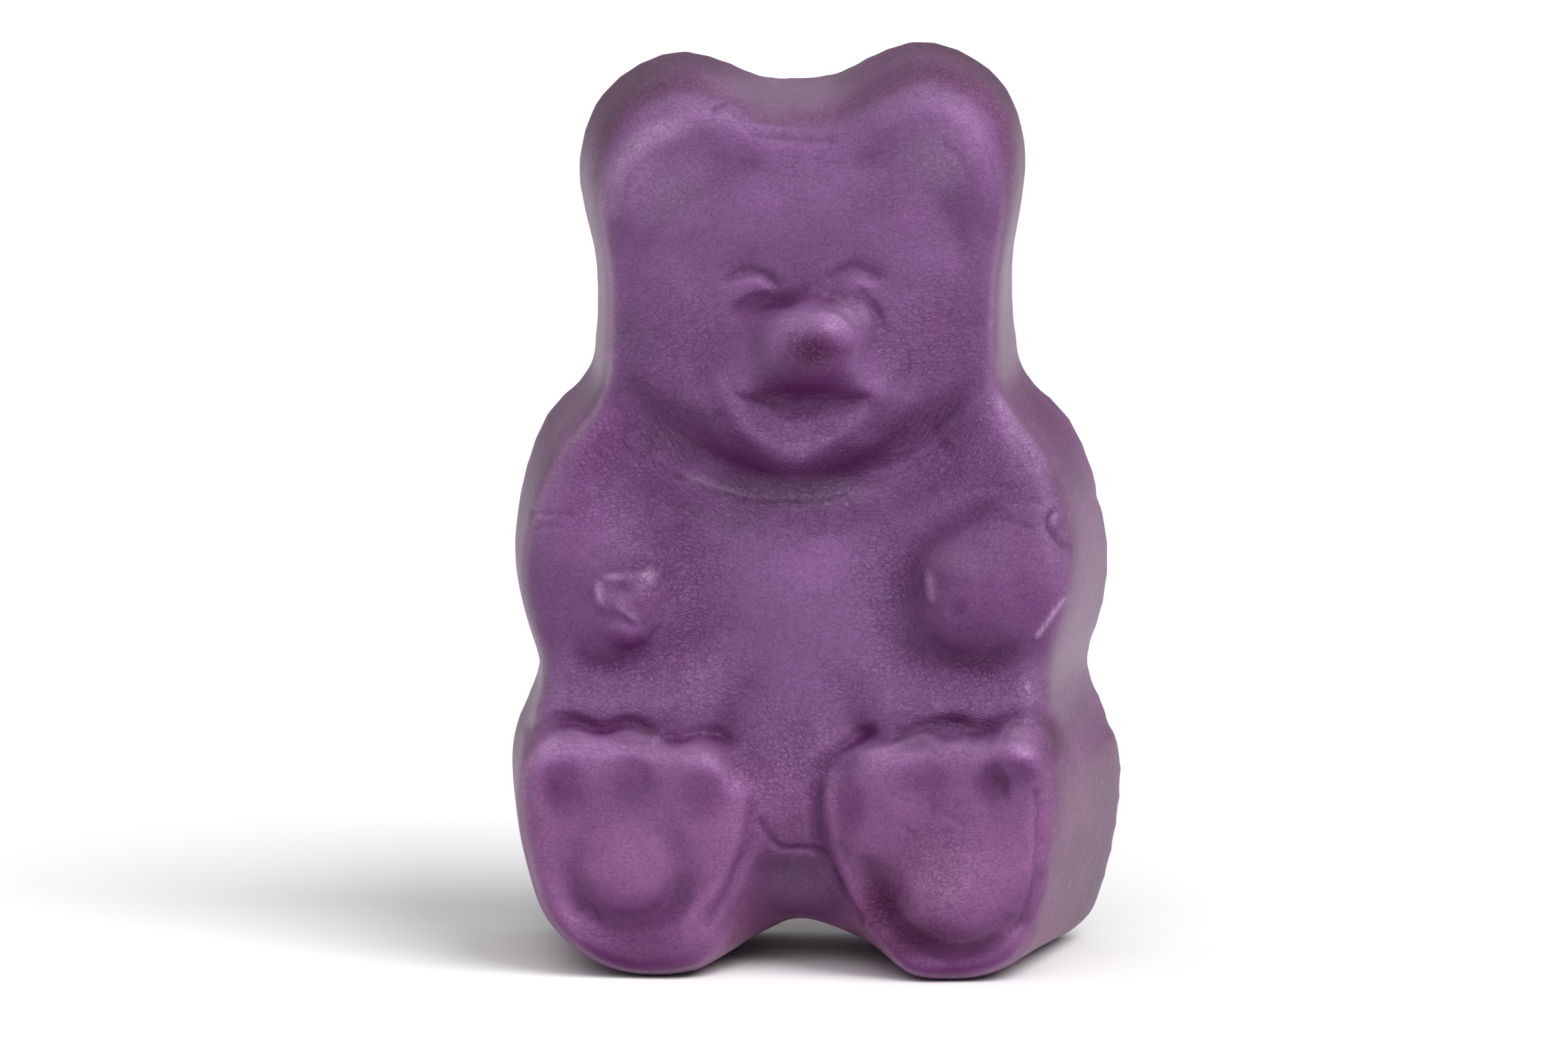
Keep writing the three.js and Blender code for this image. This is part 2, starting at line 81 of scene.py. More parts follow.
# Lines pressed into the jelly: half width, depth, points. A negative depth raises a ridge instead.
LINES = {
    # The creases under the laps, and the edges of the soles.
    "left lap": (
        0.26, 0.12,
        [(-6.5, 5.5), (-6.1, 5.85), (-5.7, 6.02), (-5.1, 6.1), (-4.4, 5.9), (-3.9, 6.02), (-3.45, 5.95),
         (-3.1, 5.72)],
    ),
    "left lap, inner": (0.2, 0.07, [(-3.0, 5.72), (-2.6, 5.66), (-2.15, 5.85), (-1.7, 5.8), (-1.2, 5.55)]),
    "right lap, inner": (0.22, 0.08, [(0.6, 5.0), (0.9, 5.2), (1.3, 5.5), (1.75, 5.82), (2.15, 5.95)]),
    "right lap": (
        0.23, 0.09,
        [(2.5, 5.85), (2.85, 5.84), (3.3, 6.07), (4.0, 6.14), (4.43, 6.02), (4.83, 6.14), (5.3, 6.3),
         (5.8, 6.36)],
    ),
    "right of the knob": (0.3, 0.14, [(5.7, 6.38), (6.15, 6.2), (6.4, 5.85), (6.45, 5.4)]),
    "top of the left sole": (
        0.24, -0.06,
        [(-5.9, 5.4), (-5.3, 5.74), (-4.5, 5.7), (-3.7, 5.8), (-3.3, 5.74), (-2.9, 5.5)],
    ),
    "top of the right sole": (
        0.17, -0.06,
        [(1.25, 5.1), (1.8, 5.45), (2.4, 5.55), (2.9, 5.74), (3.3, 5.8), (3.8, 5.66), (4.4, 5.75)],
    ),
    "inner rim of the left sole": (
        0.26, -0.05,
        [(-1.05, 4.9), (-1.0, 4.0), (-1.25, 3.1), (-1.5, 2.5), (-1.9, 1.85), (-2.5, 1.2)],
    ),
    "beside the left sole": (0.22, 0.07, [(-0.8, 4.3), (-0.85, 3.3), (-1.1, 2.6), (-1.45, 1.9), (-1.9, 1.2)]),
    "inner rim of the right sole": (
        0.22, -0.08,
        [(1.25, 5.1), (1.07, 4.7), (1.05, 4.1), (1.15, 3.4), (1.32, 2.8), (1.68, 2.02), (2.1, 1.3),
         (2.7, 0.7)],
    ),
    "beside the right sole": (
        0.24, 0.1,
        [(0.72, 4.9), (0.68, 4.0), (0.76, 3.2), (1.0, 2.6), (1.32, 2.0), (1.8, 1.3)],
    ),
    "outer rim of the right sole": (
        0.12, 0.08,
        [(6.0, 4.7), (6.02, 3.9), (5.98, 3.05), (5.86, 2.2), (5.6, 1.5), (5.2, 0.95)],
    ),
    "outside the right sole": (0.16, -0.04, [(6.22, 4.6), (6.22, 3.2), (6.08, 2.2), (5.8, 1.4)]),
    "between the feet": (
        0.12, 0.09,
        [(-0.65, 3.9), (-0.4, 3.4), (-0.15, 3.12), (0.55, 3.08), (0.97, 2.85), (1.3, 2.4), (1.6, 1.9),
         (1.95, 1.45)],
    ),
    "round the left heel": (0.5, 0.07, arc(-3.7, 2.6, 1.32, -215, 60)),
    "round the right heel": (0.6, 0.1, arc(3.95, 2.3, 1.68, -200, -20)),
    "under the right heel": (
        0.4, 0.1,
        [(1.95, 3.1), (2.05, 2.4), (2.4, 1.7), (3.0, 1.1), (3.8, 0.78), (4.6, 0.8), (5.2, 1.15)],
    ),
    "left sole, outer toe": (0.34, 0.07, arc(-5.15, 4.52, 0.46, 60, 250)),
    "left sole, middle toe": (0.3, 0.06, arc(-3.7, 4.75, 0.42, -30, 150)),
    "left sole, inner toe": (0.34, 0.05, arc(-2.0, 4.4, 0.42, -70, 110)),
    "right sole, middle toe": (0.34, 0.04, arc(3.3, 4.8, 0.4, 20, 170)),
    "right sole, outer toe": (0.3, 0.1, [(4.72, 5.0), (4.95, 5.15), (5.2, 4.8), (5.25, 4.4)]),
    "round the knob": (0.1, 0.06, [(5.2, 5.62), (5.24, 5.92), (5.42, 6.1), (5.7, 6.14), (5.96, 6.05)]),
    # The face.
    "mouth": (
        0.12, 0.06,
        [(-1.25, 13.92), (-0.8, 13.72), (-0.2, 13.66), (0.4, 13.7), (1.1, 13.7), (2.0, 13.88)],
    ),
    "left lid": (0.2, 0.08, [(-1.6, 16.4), (-1.25, 16.72), (-0.8, 16.8), (-0.4, 16.63), (-0.2, 16.35)]),
    "right lid": (0.2, 0.08, [(0.95, 16.6), (1.3, 16.85), (1.8, 16.86), (2.35, 16.6)]),
    "line on the right eye": (0.1, -0.04, [(1.57, 16.6), (1.85, 16.5), (2.1, 16.36)]),
    "under the left eye": (0.3, 0.1, [(-1.3, 15.75), (-0.75, 16.02), (-0.1, 16.1), (0.56, 16.3)]),
    "under the right eye": (0.22, 0.06, [(1.6, 16.3), (2.05, 15.95), (2.3, 15.5)]),
    "chin": (0.2, 0.05, [(-0.8, 13.3), (-0.2, 12.93), (0.6, 12.95), (1.15, 13.25)]),
    "scar on the chin": (0.1, 0.07, [(0.82, 12.92), (1.0, 12.98), (1.16, 13.1)]),
    "round the muzzle": (
        0.42, 0.05,
        [(-2.1, 14.5), (-1.6, 13.3), (-0.85, 12.4), (-0.2, 11.95), (0.35, 11.95), (1.0, 12.35), (1.9, 13.05),
         (2.65, 13.95), (2.8, 14.7)],
    ),
    "crown": (0.18, 0.06, [(-1.1, 20.1), (-0.4, 19.93), (0.5, 19.87), (1.1, 19.9)]),
    "pinch on the crown": (0.1, 0.08, [(-1.9, 20.48), (-1.5, 20.73)]),
    # The neck, where the skin is wrinkled.
    "neck": (
        0.12, 0.05,
        [(-2.2, 11.5), (-1.35, 11.33), (-0.6, 11.2), (0.1, 11.26), (0.75, 11.3), (1.4, 11.48)],
    ),
    "wrinkle on the neck": (
        0.12, -0.03,
        [(-2.3, 11.75), (-1.4, 11.5), (-0.6, 11.37), (0.1, 11.43), (0.8, 11.47), (1.5, 11.7)],
    ),
    "left wrinkle": (0.12, -0.02, [(-4.2, 12.9), (-3.4, 12.3), (-2.7, 11.95), (-2.1, 11.7)]),
    "under the left wrinkle": (0.12, 0.03, [(-4.1, 12.7), (-3.3, 12.1), (-2.6, 11.75), (-2.0, 11.5)]),
    "right wrinkle": (0.12, -0.02, [(1.7, 11.8), (2.5, 12.1), (3.3, 12.6), (4.2, 13.4), (4.7, 14.0)]),
    "over the right wrinkle": (0.12, 0.03, [(1.8, 12.0), (2.5, 12.3), (3.3, 12.8), (4.1, 13.6)]),
    "swell of the neck": (
        0.8, -0.2,
        [(-3.4, 12.4), (-1.8, 11.5), (-0.6, 11.2), (0.6, 11.2), (2.0, 11.6), (3.6, 12.6)],
    ),
    # The arms and paws.
    "right shoulder": (0.3, -0.1, [(4.88, 14.0), (5.19, 13.48), (5.68, 12.95), (6.0, 12.5), (6.33, 11.9)]),
    "under the right shoulder": (0.1, 0.04, [(4.7, 13.6), (5.0, 13.15), (5.5, 12.65), (5.85, 12.1)]),
    "over the right forearm": (
        0.5, 0.1,
        [(2.65, 8.8), (2.65, 9.4), (3.06, 10.15), (3.77, 10.7), (4.46, 11.05), (5.2, 11.2)],
    ),
    "under the left forearm": (
        0.4, 0.08,
        [(-5.2, 7.85), (-4.72, 7.48), (-4.1, 7.46), (-3.6, 7.65), (-3.35, 7.95)],
    ),
    "under the right forearm": (0.4, 0.08, [(3.2, 8.15), (3.6, 7.7), (4.2, 7.5), (4.8, 7.48), (5.5, 7.85)]),
    "top of the left paw": (0.2, -0.05, [(-4.55, 9.5), (-3.9, 9.5), (-3.15, 9.6)]),
    "side of the left paw": (0.25, -0.08, [(-4.5, 9.45), (-4.45, 9.1), (-4.3, 8.75)]),
    "corner of the left paw": (0.22, -0.08, [(-3.45, 9.62), (-3.25, 9.45), (-3.2, 9.2)]),
    "thumb of the left paw": (0.2, -0.05, [(-4.1, 8.93), (-3.8, 8.72), (-3.45, 8.45)]),
    "notch of the left paw": (0.2, 0.05, [(-4.05, 8.72), (-3.8, 8.5), (-3.6, 8.3)]),
    "corner of the right paw": (0.2, -0.08, [(3.3, 9.75), (3.35, 9.3), (3.5, 8.9)]),
    "beside the scar": (0.13, 0.14, [(6.32, 11.2), (6.2, 10.95), (6.36, 10.55), (6.68, 10.15)]),
    "scratch on the right arm": (0.09, -0.04, [(5.87, 8.13), (6.25, 8.68), (6.61, 9.19)]),
}

# Rounded dents: across, up, half width, half height, depth. A negative depth raises a bump instead.
DENTS = {
    "right sole, inner toe": (1.6, 4.2, 0.5, 0.75, 0.05),
    "right sole, outer toe": (4.95, 4.75, 0.45, 0.6, 0.08),
    "knob of the right sole": (5.5, 5.78, 0.7, 0.55, -0.12),
    "notch of the right lap": (1.95, 5.9, 0.34, 0.2, 0.03),
    "right side of the nose": (1.35, 15.55, 0.85, 0.7, -0.16),
    "left side of the nose": (-0.15, 15.4, 0.65, 0.65, -0.02),
    "left eye": (-0.75, 16.45, 0.9, 0.42, 0.07),
    "right eye": (1.75, 16.5, 0.9, 0.42, 0.07),
    "upper lip": (0.4, 14.4, 1.5, 0.45, -0.03),
    "tip of the nose": (0.8, 14.98, 0.6, 0.5, 0.08),
    "chin": (0.1, 12.25, 1.1, 0.6, -0.03),
    "plateau of the left paw": (-3.85, 9.1, 0.95, 0.7, -0.12),
    "hollow of the left paw": (-3.85, 9.18, 0.4, 0.26, 0.08),
    "thumb pad of the left paw": (-3.8, 8.2, 0.6, 0.5, -0.1),
    "dimple of the right paw": (4.03, 8.86, 0.3, 0.3, 0.06),
    "scar on the right arm": (6.5, 10.68, 0.26, 0.5, 0.07),
}

# Hairline cracks: points only.
HAIRLINES = [
    [(3.59, 19.88), (3.84, 19.57), (4.05, 19.4), (4.15, 19.2), (4.25, 18.9)],
    [(-4.35, 1.38), (-4.65, 1.74), (-4.78, 1.68), (-4.98, 1.46)],
    [(3.52, 4.54), (3.5, 4.2), (3.59, 3.96)],
    [(3.79, 4.21), (3.95, 4.05), (4.05, 3.98), (4.35, 3.8)],
    [(3.94, 4.46), (4.1, 4.3), (4.29, 4.22)],
    [(2.73, 3.85), (2.95, 3.75), (3.09, 3.6)],
    [(2.5, 4.6), (2.75, 4.45), (2.95, 4.4)],
    [(4.9, 5.1), (4.98, 4.8), (4.93, 4.45), (4.88, 4.05)],
    [(4.62, 4.95), (4.8, 4.9), (4.98, 4.98)],
    [(-6.3, 10.9), (-5.9, 10.95), (-5.5, 11.0), (-5.1, 10.95)],
    [(-6.1, 10.55), (-5.7, 10.65), (-5.3, 10.7)],
    [(4.2, 11.6), (4.7, 11.72), (5.3, 11.68)],
    [(5.1, 11.35), (5.6, 11.4), (6.05, 11.25)],
    [(4.8, 10.95), (5.3, 10.92), (5.8, 10.65)],
    [(2.1, 15.5), (2.5, 15.4), (2.8, 15.1), (2.86, 14.7), (2.8, 14.3)],
    [(3.3, 6.35), (3.6, 6.24), (4.05, 6.42)],
    [(2.9, 6.45), (3.2, 6.52), (3.5, 6.4)],
    [(-2.9, 10.5), (-2.5, 10.62), (-2.2, 10.45)],
    [(-3.0, 8.9), (-2.7, 9.0), (-2.5, 9.2)],
    [(-3.1, 8.95), (-2.95, 8.6), (-3.0, 8.3), (-3.3, 7.95)],
]
HAIRLINE = (0.095, 0.035)  # half width, depth
WOBBLE = (0.5, 0.06)  # length and size of the waver in the pressed lines
WOBBLE_SLICES = (7.3, 31.7)  # where in the noise the wavers across and up are read

# Patches of skin, as ovals: across, up, half width, half height, strength.
CRACKLED = [
    (0.0, 11.4, 3.6, 1.3, 1.0),
    (-3.8, 12.0, 2.2, 1.8, 1.0),
    (4.0, 12.2, 2.2, 1.8, 0.9),
    (0.0, 13.0, 3.6, 1.8, 0.8),
    (-3.2, 7.0, 3.6, 1.1, 0.9),
    (3.4, 6.9, 3.6, 1.0, 0.9),
    (0.0, 4.8, 1.6, 2.2, 0.9),
    (-2.9, 15.0, 1.8, 1.9, 0.9),
    (3.5, 15.0, 1.7, 1.9, 0.9),
    (-2.4, 9.5, 1.4, 2.4, 0.9),
    (2.4, 9.5, 1.0, 2.4, 0.8),
    (3.7, 2.4, 1.5, 1.5, 0.8),
]
WRINKLED = [
    (0.0, 11.5, 3.4, 1.1, 1.0),
    (-3.4, 12.4, 2.0, 1.6, 0.9),
    (3.7, 12.9, 1.9, 1.6, 0.8),
    (-2.7, 10.4, 1.0, 0.8, 0.5),
    (-3.5, 6.8, 3.0, 0.7, 0.5),
    (3.4, 6.8, 3.0, 0.7, 0.6),
]
WALL_TAPER = 0.16  # how far the walls lean in, per millimetre of depth
WALL_MARGIN = 0.55  # how far inside that lean a place still counts as wall
WALL_SOFTNESS = 70  # rounds of evening that fade the wall into the front
RIM_REACH = 5.0  # depth over which the painted rim shade fades, from the back forwards
EDGE_REACH = 0.45  # depth over which the painted shade along the back edge fades
JAW = (0.3, 15.2)  # the middle that the wrinkles under the jaw run round
JAW_REACH = 22.0  # the distance from it that the attribute "round" counts as 1
JAW_ROWS = 190.0  # rows of wrinkles over that distance
FEET_FADE = (3.5, 6.5)  # heights between which the tint of the feet fades out
# Shade painted on the walls, fading forwards from the back: across, up, half width, half height, strength.
PAINTED_RIM_SHADE = [
    (-4.0, 20.9, 3.2, 2.6, 1.0),
    (-5.7, 18.8, 1.2, 2.4, 0.5),
    (4.3, 21.4, 3.0, 2.6, 1.0),
    (5.8, 18.8, 1.2, 3.0, 0.6),
    (7.7, 3.8, 1.1, 3.2, 0.7),
    (6.9, 1.5, 1.8, 2.6, 1.0),
    (-7.0, 9.7, 1.2, 3.0, 0.6),
    (-7.2, 4.3, 1.2, 2.6, 0.5),
]
# Light painted on the walls where they pinch in and catch it from the side.
PAINTED_WALL_LIGHT = [
    (-0.4, 21.3, 2.2, 1.6, 1.0),
    (-6.6, 7.2, 1.8, 2.2, 0.55),
    (6.7, 7.2, 2.0, 2.4, 0.5),
    (-5.3, 14.6, 1.4, 2.6, 0.8),
    (-5.6, 13.3, 1.2, 1.3, 0.8),
    (5.2, 15.8, 1.4, 2.8, 0.55),
    (7.2, 10.0, 1.4, 3.0, 0.25),
]
PAINTED_EDGE_HIGHLIGHTS = [  # where the wall meets the front: a painted highlight line along the edge, speckled by the dust noise
    (-6.4, 2.6, 3.0, 4.4, 0.6),
    (-3.6, 0.3, 4.4, 1.6, 0.6),
    (4.0, 0.3, 4.6, 1.6, 0.6),
    (-5.0, 15.6, 2.4, 4.6, 1.0),
    (-6.6, 10.6, 2.0, 3.0, 0.4),
    (5.0, 16.5, 1.6, 3.0, 0.6),
]
WORN = [
    (0.75, 15.0, 1.0, 0.8, 1.0),
    (2.35, 1.9, 0.95, 1.5, 1.0),
    (3.2, 1.1, 1.8, 0.7, 1.0),
    (4.4, 0.95, 1.0, 0.4, 0.6),
    (4.1, 6.25, 0.6, 0.24, 0.8),
    (6.45, 5.8, 0.5, 0.6, 0.7),
    (1.9, 5.9, 0.5, 0.2, 0.3),
]
# Patches painted darker as shade, and places where the painted shade in dents and creases is held back,
# keeping the even colour.
PAINTED_SHADE_PATCHES = [
    (-3.8, 0.4, 2.8, 1.2, 1.0),
    (3.9, 0.3, 2.8, 1.1, 0.9),
    (4.2, 9.0, 2.2, 1.7, 0.6),
    (6.0, 9.6, 1.4, 2.2, 0.6),
    (-5.6, 10.2, 1.8, 2.8, 0.4),
    (-4.9, 13.0, 1.8, 1.8, 0.65),
    (-3.6, 9.3, 1.6, 1.5, 0.45),
    (0.05, 15.75, 0.6, 0.55, 0.4),
    (4.0, 15.4, 1.4, 2.0, 0.3),
    (2.7, 18.4, 1.6, 1.3, 0.25),
    (-5.25, 4.55, 0.95, 0.85, 0.6),
    (-3.65, 4.85, 0.9, 0.75, 0.48),
    (-1.85, 4.35, 0.75, 0.9, 0.48),
    (3.2, 4.9, 0.9, 0.5, 0.45),
    (1.6, 4.2, 0.5, 0.9, 0.5),
    (4.9, 4.85, 0.55, 0.7, 0.7),
]
EVEN = [
    (-3.1, 18.8, 1.6, 1.5, 0.9),
    (3.4, 19.6, 1.6, 1.5, 0.9),
    (0.2, 11.8, 3.4, 1.0, 0.9),
    (0.4, 13.9, 2.4, 0.7, 0.55),
    (3.6, 5.85, 1.5, 0.4, 0.5),
    (0.2, 2.2, 1.3, 1.2, 0.5),
    (-0.2, 9.6, 3.2, 2.6, 1.0),
    (1.8, 8.6, 1.6, 2.2, 0.9),
]
# Painted highlight lines, speckled, on what stands out: half width, strength, points.
PAINTED_HIGHLIGHT_LINES = [
    (0.5, 0.7, [(-4.3, 17.9), (-4.1, 19.1), (-3.3, 19.95), (-2.2, 20.3)]),
    (0.35, 0.3, [(1.7, 20.2), (2.5, 20.85), (3.2, 21.1), (3.9, 20.9), (4.6, 20.2)]),
    (0.28, 1.0, [(4.88, 14.0), (5.19, 13.48), (5.68, 12.95), (6.0, 12.5), (6.33, 11.9)]),
    (0.24, 0.4, [(-2.6, 11.85), (-1.4, 11.52), (-0.6, 11.38), (0.1, 11.43), (0.8, 11.5), (1.5, 11.7)]),
    (0.25, 0.25, [(-5.9, 5.45), (-5.3, 5.72), (-4.5, 5.7)]),
    (0.2, 0.3, [(-3.9, 5.78), (-3.3, 5.74), (-2.9, 5.5)]),
    (0.14, 0.35, [(2.6, 5.6), (2.9, 5.74), (3.3, 5.8), (3.8, 5.66), (4.4, 5.72)]),
    (0.1, 1.0, [(5.87, 8.13), (6.25, 8.68), (6.61, 9.19)]),
    (0.12, 0.8, [(5.67, 7.15), (5.75, 6.73)]),
    (0.14, 1.0, [(-4.45, 9.45), (-4.47, 9.15), (-4.35, 8.85)]),
    (0.1, 0.8, [(-4.4, 9.52), (-3.9, 9.54)]),
    (0.12, 0.5, [(-4.1, 8.93), (-3.8, 8.72), (-3.45, 8.45)]),
    (0.16, 0.6, [(3.32, 9.7), (3.36, 9.3), (3.5, 8.95)]),
]
# Painted highlight patches, speckled: across, up, half width, half height, strength.
PAINTED_HIGHLIGHT_PATCHES = [
    (1.4, 15.75, 0.6, 0.5, 0.55),
    (-3.3, 9.52, 0.32, 0.28, 1.0),
    (4.2, 9.95, 1.2, 0.6, 0.3),
    (5.6, 5.85, 0.6, 0.45, 0.7),
    (6.55, 10.65, 0.22, 0.4, 0.7),
    (-2.9, 18.6, 1.6, 1.3, 0.3),
    (3.5, 19.5, 1.4, 1.3, 0.35),
    (0.3, 11.5, 2.2, 0.6, 0.5),
    (0.2, 2.2, 1.2, 0.9, 0.25),
    (-1.3, 10.8, 1.6, 0.8, 0.15),
    (-2.9, 12.7, 1.0, 0.8, 0.12),
    (3.9, 2.6, 1.2, 1.1, 0.3),
]


HOLLOW_RELIEF = 0.2  # how deep a dip is, as a share of the hollow reach, when its painted shade is full
RIDGE_RELIEF = 0.45  # and how high a ridge when its painted highlight is full
FINE_EDGE = 0.1 * MM  # the usual length of an edge in the fine mesh
BUMP_DEPTH = 0.014 * MM  # height of one unit of the skin's fine relief

# The suns: strength, then width, turn from the front towards +X, and height, in degrees.
SUNS = {
    "key": (2.7, 38, 50, 45),
    "front_fill": (1.3, 50, 3, 38),
    "top_left": (0.4, 45, -60, 60),
}
SKY = 0.28  # strength of the even white light from all round
AIM = (-0.36 * MM, 0.481)  # what the camera looks at: across, and up as a share of the height


# ---- Sizes and colours that a user would change ----


class BearSizes(bpy.types.PropertyGroup):
    """How finely the bear is made, and how deep its marks are."""

    levels: IntProperty(
        name="Subdivisions", description="How often the surface is divided",
        default=2, min=0, max=2,
    )
    relief: FloatProperty(
        name="Relief", description="Depth of the marks, as a share of the usual",
        default=1.0, min=0.0, max=2.0,
    )
    # The width of a dip that gets painted shade.
    hollow_reach: FloatProperty(
        name="Hollow reach",
        description="How wide a dip has to be to count as a hollow that darkens",
        default=0.6 * MM,
        subtype="DISTANCE",
        unit="LENGTH",
    )


class JellyColours(bpy.types.PropertyGroup):
    """The colours and skin of the jelly, among them the colours painted as shade and light."""

    body: FloatVectorProperty(
        name="Body", description="The moulded front",
        subtype="COLOR", default=(0.150, 0.069, 0.168), min=0, max=1,
    )
    # Painted shade, in folds, hollows, undersides and cracks.
    deep: FloatVectorProperty(
        name="Deep", description="In folds and hollows",
        subtype="COLOR", default=(0.070, 0.008, 0.066), min=0, max=1,
    )
    # A darker, deeper purple on the side walls; the dust on them is the specks mixed in later.
    wall: FloatVectorProperty(
        name="Wall", description="The dusty side walls",
        subtype="COLOR", default=(0.108, 0.027, 0.098), min=0, max=1,
    )
    # Painted shade, along the back edge and in patches on the walls.
    rim: FloatVectorProperty(
        name="Rim", description="Along the back edge",
        subtype="COLOR", default=(0.040, 0.008, 0.034), min=0, max=1,
    )
    # Painted highlight, on ridges and in listed lines and patches.
    painted_highlight: FloatVectorProperty(
        name="Bloom", description="On ridges",
        subtype="COLOR", default=(0.292, 0.205, 0.305), min=0, max=1,
    )
    # Painted light, on the walls where they pinch in.
    pale: FloatVectorProperty(
        name="Pale", description="Where the walls pinch in",
        subtype="COLOR", default=(0.200, 0.120, 0.195), min=0, max=1,
    )
    # Dust specks on the walls, and the painted highlight line along their edge with the front.
    dust: FloatVectorProperty(
        name="Dust", description="Specks on the walls and their edge",
        subtype="COLOR", default=(0.36, 0.25, 0.35), min=0, max=1,
    )
    stain: FloatVectorProperty(
        name="Stain", description="In the worn spots",
        subtype="COLOR", default=(0.040, 0.001, 0.026), min=0, max=1,
    )
    feet: FloatVectorProperty(
        name="Feet", description="Warmer tint of the thick feet",
        subtype="COLOR", default=(1.10, 0.96, 0.97), min=0, max=2,
    )
    roughness: FloatProperty(
        name="Roughness", description="Of the satin skin",
        default=0.42, min=0, max=1,
    )
    crackle: FloatProperty(
        name="Crackle size",
        description="Width of one plate of the crackled skin",
        default=0.16 * MM,
        subtype="DISTANCE",
        unit="LENGTH",
    )


class StudioSetup(bpy.types.PropertyGroup):
    """The floor, the lights and the camera."""

    floor: FloatVectorProperty(
        name="Floor", description="Colour of the floor",
        subtype="COLOR", default=(0.90, 0.90, 0.90), min=0, max=1,
    )
    turn: FloatProperty(
        name="Turn", description="Camera's turn towards +X",
        default=math.radians(6.0), subtype="ANGLE", unit="ROTATION",
    )
    rise: FloatProperty(
        name="Rise", description="Camera's height angle",
        default=math.radians(6.0), subtype="ANGLE", unit="ROTATION",
    )
    distance: FloatProperty(
        name="Distance", description="From camera to bear",
        default=200 * MM, subtype="DISTANCE", unit="LENGTH",
    )
    lens: FloatProperty(
        name="Lens", description="Focal length in millimetres",
        default=191.9, subtype="DISTANCE_CAMERA",
    )


# ---- The form ----


def select_only(piece):
    """Makes one object the only one selected, and the active one."""
    bpy.ops.object.select_all(action="DESELECT")
    piece.select_set(True)
    bpy.context.view_layer.objects.active = piece


def apply_modifier(piece, kind, **settings):
    """Adds a modifier with its settings and applies it."""
    modifier = piece.modifiers.new(kind.title(), kind)
    for name, value in settings.items():
        setattr(modifier, name, value)
    select_only(piece)
    bpy.ops.object.modifier_apply(modifier=modifier.name)


def fine_copy(node, name, levels):
    """A copy of a CAD node as joined quads, divided and smooth."""
    piece = bpy.data.objects.new(name, node.data.copy())
    bpy.context.scene.collection.objects.link(piece)
    select_only(piece)
    bpy.ops.object.mode_set(mode="EDIT")
    bpy.ops.mesh.select_all(action="SELECT")
    bpy.ops.mesh.remove_doubles(threshold=0.002 * MM)
    bpy.ops.mesh.tris_convert_to_quads(face_threshold=math.pi, shape_threshold=math.pi)
    bpy.ops.object.mode_set(mode="OBJECT")
    apply_modifier(piece, "SUBSURF", levels=levels, render_levels=levels)
    bpy.ops.object.shade_smooth()
    return piece


def vertex_array(mesh, what):
    """The places or normals of a mesh's vertices, one row each."""
    values = np.empty(len(mesh.vertices) * 3)
    mesh.vertices.foreach_get(what, values)
    return values.reshape(-1, 3)


def smooth_line(points, pieces=6):
    """A finer line through the same points, curved between them."""
    if len(points) < 3:
        return np.array(points)
    p = np.array([points[0], *points, points[-1]])
    fine = [p[1]]
    for a, b, c, d in zip(p, p[1:], p[2:], p[3:]):
        for t in np.arange(1, pieces + 1) / pieces:
            bend = (2 * a - 5 * b + 4 * c - d) * t**2 + (3 * b - a - 3 * c + d) * t**3
            fine.append(0.5 * (2 * b + (c - a) * t + bend))
    return np.array(fine)


def line_press(places, points, half_width):
    """How much of a line's full depth each place gets: 1 along it, 0 beside it and past its ends."""
    line = smooth_line(points)
    lengths = np.concatenate([[0], np.cumsum(np.hypot(*np.diff(line, axis=0).T))])
    nearest = np.full(len(places), np.inf)
    along = np.zeros(len(places))
    for a, b, start in zip(line, line[1:], lengths):
        step = b - a
        size = np.hypot(*step)
        t = np.clip((places - a) @ step / size**2, 0, 1)
        distance = np.hypot(*(places - a - t[:, None] * step).T)
        closer = distance < nearest
        nearest[closer] = distance[closer]
        along[closer] = start + t[closer] * size
    share = along / lengths[-1]
    fade = np.clip(np.minimum(share, 1 - share) * lengths[-1] / (1.5 * half_width), 0, 1) ** 0.5
    return np.clip(1 - (nearest / half_width) ** 2, 0, 1) ** 2 * fade


def rise(values, start, span):
    """0 up to a start, growing to 1 over a span."""
    return np.clip((values - start) / span, 0, 1)


def bell(values, width):
    """1 where a value is 0, falling to 0 on both sides over a width."""
    return np.exp(-((values / width) ** 2))


def oval_share(places, across, up, half_width, half_height):
    """1 in the middle of an oval, falling to 0 at its edge."""
    squared = ((places[:, 0] - across) / half_width) ** 2 + ((places[:, 1] - up) / half_height) ** 2
    return np.clip(1 - squared, 0, 1) ** 1.5


def wander(places):
    """Places shifted a little by smooth noise, so that no line drawn on them is quite even."""
    size, amount = WOBBLE
    return places + amount * np.array(
        [[noise.noise(Vector((x / size, y, z / size))) for y in WOBBLE_SLICES] for x, z in places]
    )


def press_marks(piece, relief):
    """Presses the lines, dents and hairlines into the front of the piece."""
    mesh = piece.data
    coords = vertex_array(mesh, "co")
    normals = vertex_array(mesh, "normal")
    facing = rise(-normals[:, 1], 0.05, 0.35)
    places = wander(coords[:, [0, 2]] / MM)
    depth = np.zeros(len(coords))
    for half_width, deep, points in LINES.values():
        depth += deep * line_press(places, points, half_width)
    for across, up, half_width, half_height, deep in DENTS.values():
        depth += deep * oval_share(places, across, up, half_width, half_height)
    half_width, deep = HAIRLINE
    for points in HAIRLINES:
        depth += deep * line_press(places, points, half_width)
    coords -= normals * (relief * MM * depth * facing)[:, None]
    mesh.vertices.foreach_set("co", coords.ravel())
    mesh.update()


# ---- What the skin is like from place to place, and where shade and light are painted ----


